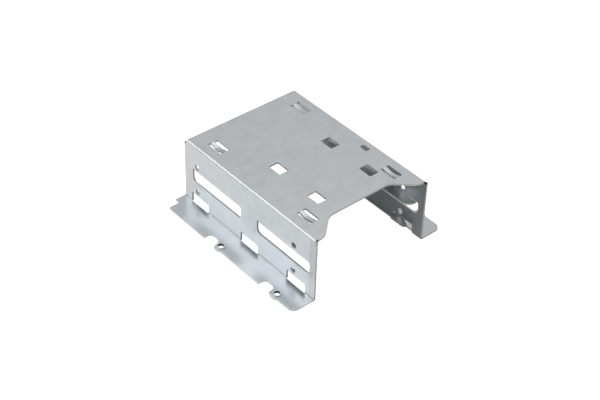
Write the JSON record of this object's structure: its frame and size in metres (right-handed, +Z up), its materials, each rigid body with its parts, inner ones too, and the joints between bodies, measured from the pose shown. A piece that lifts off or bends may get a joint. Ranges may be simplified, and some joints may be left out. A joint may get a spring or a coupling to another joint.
{
  "type": "drive bay adapter bracket",
  "caption": "Folded steel hat-section bracket with lanced wall shelves that carries small drives one above the other and bolts by its feet into a larger drive bay.",
  "frame": {"origin": "centre of the bounding box's bottom, at the underside of the feet", "axes": "+X across the bracket to its right wall, +Y from the front edge with the bay cut-out to the rear, +Z up from the feet to the top plate"},
  "size_m": [0.1026, 0.1036, 0.0376],
  "materials": {
    "zinc_sheet": "satin zinc-coated sheet steel"
  },
  "bodies": {
    "root": {"bracket": "zinc_sheet"}
  },
  "joints": []
}
